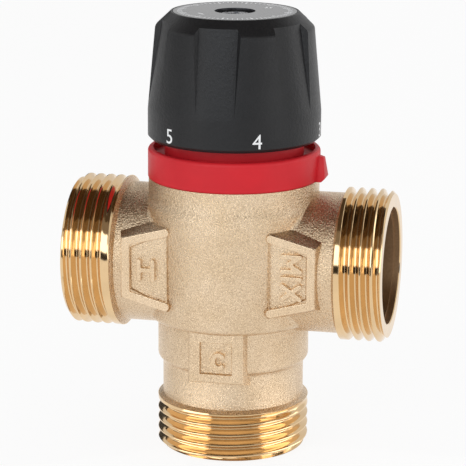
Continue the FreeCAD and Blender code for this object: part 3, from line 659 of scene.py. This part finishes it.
def fused(bars, width, depth, rounds):
    """One solid of many bars, softened as a casting is by rounds of smoothing."""
    bm = bmesh.new()
    for start, end in bars:
        stroke_bar(bm, start, end, width, depth)
    mesh = new_mesh("bars", bm)
    holder = new_object("bars", mesh)
    remesh = holder.modifiers.new("remesh", "REMESH")
    remesh.mode = "VOXEL"
    remesh.voxel_size = VOXEL
    smooth = holder.modifiers.new("smooth", "SMOOTH")
    smooth.factor = 0.5
    smooth.iterations = rounds
    soft = applied_mesh(holder)
    bpy.data.objects.remove(holder)
    return bmesh_of(soft)


def cast_word(text, height):
    """Word of round strokes about its own centre."""
    reach = height - LETTER_STROKE
    bars, pen = [], 0.0
    for letter in text:
        strokes, advance = LETTERS[letter]
        for line in strokes:
            points = [Vector(((pen + x) * reach, (y - 0.5) * reach)) for x, y in line]
            bars += zip(points, points[1:])
        pen += advance + LETTER_GAP
    middle = Vector(((pen - LETTER_GAP) * reach / 2, 0))
    bars = [(start - middle, end - middle) for start, end in bars]
    return fused(bars, LETTER_STROKE, LETTER_RISE + LETTER_SINK, rounds=3)


def raised_piece(name, bm, x, y, z, turn=0.0):
    """Stand a flat solid up to face the front; turn is clockwise, in degrees."""
    stand = Matrix.Translation((x, y, z)) @ Matrix.Rotation(math.radians(turn), 4, "Y")
    stand = stand @ Matrix.Rotation(math.radians(90), 4, "X")
    bmesh.ops.transform(bm, matrix=stand, verts=bm.verts)
    # raised pieces get the lighter cast brass, a painted highlight
    return add_piece(name, bm, CAST_PAINTED_HIGHLIGHT, "valve", 180)


def panel_ridge(name, side):
    """Rounded border of a side panel, open towards the barrel."""
    inset = PANEL_BORDER / 2
    start, end = RIDGE_START, PANEL_OUTER_X - inset
    near, far = (panel_edge(x) - SLANT * inset for x in (start, end))
    path = [Vector((side * x, z)) for x, z in ((start, near), (end, far), (end, -far), (start, -near))]
    bm = fused(zip(path, path[1:]), RIDGE_WIDTH, RIDGE_RISE + LETTER_SINK, rounds=5)
    raised_piece(name, bm, 0, -PANEL_FACE + (LETTER_SINK - RIDGE_RISE) / 2, PANEL_Z)


panel_ridge("hot_panel_border", -1)
panel_ridge("mix_panel_border", 1)
# name, text, height, place of its middle, face of its panel and turn
cast_words = [
    ("letter_hot", "H", 4.9 * MM, -15.75 * MM, AXIS_Z - 0.1 * MM, PANEL_FACE, 0),
    ("letters_mix", "MIX", 4.8 * MM, 16.0 * MM, AXIS_Z + 0.15 * MM, PANEL_FACE, 90),
    ("letter_cold", "C", 3.9 * MM, 0.5 * MM, AXIS_Z - 19.0 * MM, COLD_PANEL_FACE, 0),
]
for name, text, height, x, z, face, turn in cast_words:
    raised_piece(name, cast_word(text, height), x, POCKET - face + (LETTER_SINK - LETTER_RISE) / 2, z, turn)


# ------------------------------------------------------------------ print on the knob
def text_solid(text, height, depth):
    """Solid of printed text about the origin, its front towards +Z."""
    curve = bpy.data.curves.new("letters", "FONT")
    curve.body = text
    curve.size = 1.0
    holder = new_object("letters", curve)
    bpy.context.view_layer.update()
    curve.size = height / holder.dimensions.y
    curve.extrude = depth / 2
    curve.resolution_u = 6
    bm = bmesh_of(applied_mesh(holder), merge=FINE_MERGE)
    bpy.data.objects.remove(holder)
    low = [min(v.co[k] for v in bm.verts) for k in range(3)]
    high = [max(v.co[k] for v in bm.verts) for k in range(3)]
    middle = (Vector(low) + Vector(high)) / 2
    bmesh.ops.translate(bm, vec=-middle, verts=bm.verts)
    return bm


def knob_number(text, angle):
    """Printed number wrapped round the knob's band; the angle runs from the front towards +X."""
    bm = text_solid(text, NUMBER_HEIGHT, NUMBER_DEPTH)
    bmesh.ops.subdivide_edges(bm, edges=bm.edges, cuts=1)
    for v in bm.verts:
        around = math.radians(angle) + v.co.x / BAND_R
        v.co = upright(BAND_R + v.co.z, around - math.pi / 2, NUMBER_Z + v.co.y)
    return add_piece("number_" + text, bm, PRINT_WHITE, "handle", 60)


def disc_print():
    """Plain printed marks on the knob's top disc: a ring of ticks with + and - signs."""
    low, high = DISC_TOP - PRINT_SINK, DISC_TOP + PRINT_RISE
    bm = bmesh.new()

    def mark(size, angle, across=False):
        """Bar that points outwards, or lies across that direction."""
        radius, length, width = size
        out = upright(1.0, math.radians(angle), 0.0)
        along, side = out, Z.cross(out)
        if across:
            along, side = side, -out
        corners = [out * radius + along * (u * length / 2) + side * (v * width / 2)
                   for u, v in ((-1, -1), (1, -1), (1, 1), (-1, 1))]
        slab(bm, [(*corner.xy, low) for corner in corners], [(*corner.xy, high) for corner in corners])

    for k in range(TICKS):
        mark(SHORT_TICK if k % LONG_TICK_EVERY else LONG_TICK, 360 / TICKS * k)
    for angle in (PLUS_ANGLE, MINUS_ANGLE):
        mark(SIGN_BAR, angle, across=True)
    mark(SIGN_BAR, PLUS_ANGLE)
    return add_piece("disc_print", bm, PRINT_WHITE, "handle", 60)


for text, angle in (("5", -34.5), ("4", 27.4), ("3", 90.0), ("2", 152.0), ("1", 214.0)):
    knob_number(text, angle)
disc_print()

# ------------------------------------------------------------------ floor, light and camera
TARGET = Vector((0, 0, 47.2 * MM))       # the camera and the lights aim at this point
FLOOR_HALF = 3.0
FLOOR_DROP = 0.2 * MM
FLOOR_GLOW = 0.88                        # share of plain white in what the camera sees of it
WORLD_LIGHT = 0.80
LAMP_DISTANCE = 1.2
FLOOR_CARD_NEAR = 17 * MM
FLOOR_CARD_FAR = 62 * MM
FLOOR_CARD_STEPS = 12
CARD_FADE = (0.45, 0.62)                 # slant at which a floor card appears, and is full
CAMERA_AZIMUTH = 12.61
CAMERA_ELEVATION = 14.0
CAMERA_ROLL = 0.296
CAMERA_DISTANCE = 497.9 * MM
CAMERA_SHIFT = 0.19 * MM                 # to the left of the target
CAMERA_LENS = 175.57


def direction(azimuth, elevation):
    """Unit vector; the azimuth runs from the front towards +X, in degrees."""
    turn, tilt = math.radians(azimuth), math.radians(elevation)
    return Vector((math.sin(turn) * math.cos(tilt), -math.cos(turn) * math.cos(tilt), math.sin(tilt)))


def stage_sheet(name, half, segments, material):
    """Flat square sheet of the stage."""
    bm = bmesh.new()
    bmesh.ops.create_grid(bm, x_segments=segments, y_segments=segments, size=half)
    mesh = new_mesh(name, bm)
    mesh.materials.append(material)
    obj = new_object(name, mesh)
    return obj


def pale_floor():
    """Floor that catches soft shadows; the camera and mirrors see it almost white."""
    floor = Shader("floor_pale", (0.86, 0.86, 0.86), roughness=0.6)
    path = floor.node("LightPath")
    seen = path.outputs["Is Camera Ray"]
    for kind in ("Is Glossy Ray", "Is Transmission Ray"):
        either = floor.node("Math")
        either.operation = "MAXIMUM"
        floor.link(seen, either.inputs[0])
        floor.link(path.outputs[kind], either.inputs[1])
        seen = either.outputs[0]
    share = floor.fit(seen, 0.0, 1.0, 0.0, FLOOR_GLOW)
    floor.blend(share, floor.surface.outputs[0], floor.node("Emission").outputs[0])
    stage_sheet("floor", FLOOR_HALF, 8, floor.material).location.z = -FLOOR_DROP


def studio_world():
    """Even white light from all sides."""
    world = bpy.data.worlds.new("studio")
    bpy.context.scene.world = world
    world.use_nodes = True
    light = world.node_tree.nodes["Background"]
    light.inputs["Color"].default_value = (1, 1, 1, 1)
    light.inputs["Strength"].default_value = WORLD_LIGHT


def stand_around(obj, azimuth, elevation, distance, front):
    """Place an object around the target, its front axis towards it."""
    obj.location = TARGET + distance * direction(azimuth, elevation)
    obj.rotation_euler = (TARGET - obj.location).to_track_quat(front, "Y").to_euler()


def soft_box(name, azimuth, elevation, width, height, brightness, color):
    """Area lamp; brightness is what a mirror shows of it, where 1 is white."""
    light = bpy.data.lights.new(name, "AREA")
    light.shape = "RECTANGLE"
    light.size = width
    light.size_y = height
    light.energy = brightness * math.pi * width * height
    light.color = color
    stand_around(new_object(name, light), azimuth, elevation, LAMP_DISTANCE, "-Z")


def mirrors_only(obj):
    for flag in ("visible_camera", "visible_diffuse", "visible_shadow", "visible_transmission"):
        setattr(obj, flag, False)


def dark_card(name, azimuth, elevation, distance, width, height, shade):
    """Studio card that only mirror reflections see, so polished metal gets its dark bands."""
    card = stage_sheet(name, 0.5, 4, Shader(name, shade, roughness=1.0).material)
    card.scale = (width, height, 1)
    stand_around(card, azimuth, elevation, distance, "Z")
    mirrors_only(card)


def floor_card(name, start, end, shade, glow):
    """Patch of floor between two azimuths that only slanting mirror reflections see."""
    card = Shader(name, shade, roughness=1.0, Emission_Color=(*shade, 1.0), Emission_Strength=glow)
    share = card.fit(card.node("LayerWeight").outputs["Facing"], *CARD_FADE, 0.0, 1.0)
    card.blend(share, card.node("BsdfTransparent").outputs[0], card.surface.outputs[0])
    bm = bmesh.new()
    steps = [start + (end - start) * k / FLOOR_CARD_STEPS for k in range(FLOOR_CARD_STEPS + 1)]
    near, far = ([bm.verts.new(radius * direction(azimuth, 0)) for azimuth in steps]
                 for radius in (FLOOR_CARD_NEAR, FLOOR_CARD_FAR))
    for k in range(FLOOR_CARD_STEPS):
        bm.faces.new([near[k], far[k], far[k + 1], near[k + 1]])
    mesh = outward_mesh(name, bm)
    mesh.materials.append(card.material)
    obj = new_object(name, mesh)
    mirrors_only(obj)


def camera():
    """Camera in the photo's place."""
    data = bpy.data.cameras.new("camera")
    data.sensor_width = 36.0
    data.lens = CAMERA_LENS
    data.clip_start = 0.01
    data.clip_end = 20.0
    obj = new_object("camera", data)
    back = direction(CAMERA_AZIMUTH, CAMERA_ELEVATION)
    right = Z.cross(back).normalized()
    up = back.cross(right)
    place = TARGET + CAMERA_DISTANCE * back - CAMERA_SHIFT * right
    roll = Matrix.Rotation(math.radians(CAMERA_ROLL), 4, "Z")
    obj.matrix_world = Matrix.Translation(place) @ Matrix((right, up, back)).transposed().to_4x4() @ roll
    bpy.context.scene.camera = obj


pale_floor()
studio_world()
# name, azimuth, elevation, width, height, brightness and colour
lamps = [
    ("key", -6, 25, 1.0, 0.62, 1.85, (0.86, 0.93, 1.0)),
    ("left_strip", -38, 2, 0.32, 0.7, 1.6, (1, 1, 1)),
    ("right_strip", 72, 8, 0.40, 0.8, 1.6, (1, 1, 1)),
    ("rim_light", 117, 6, 0.45, 0.8, 1.4, (1, 1, 1)),
]
# name, azimuth, elevation, distance, width, height and colour
cards = [
    ("ceiling_card", 0, 94, 0.9, 2.2, 1.2, (0.075, 0.05, 0.03)),
    ("upper_card", 0, 51, 0.95, 2.0, 0.36, (0.28, 0.235, 0.19)),
    ("low_card", 8, 1, 1.1, 1.6, 0.33, (0.03, 0.025, 0.02)),
    ("left_card", -75, 1, 1.3, 1.5, 0.34, (0.10, 0.09, 0.08)),
    ("right_card", 93, 1, 1.3, 1.2, 0.34, (0.10, 0.09, 0.08)),
    ("back_card", -143, 4, 1.2, 0.9, 0.6, (0.06, 0.06, 0.06)),
]
# name, start and end azimuth, colour and glow
floor_cards = [
    ("floor_dark", -18, 49, (0.56, 0.52, 0.48), 0.0),
    ("floor_bright_left", -55, -18, (1.0, 1.0, 1.0), 2.0),
    ("floor_bright_right", 49, 90, (1.0, 1.0, 1.0), 2.0),
]
for lamp in lamps:
    soft_box(*lamp)
for card in cards:
    dark_card(*card)
for card in floor_cards:
    floor_card(*card)
camera()
bpy.context.scene.view_settings.view_transform = "Standard"
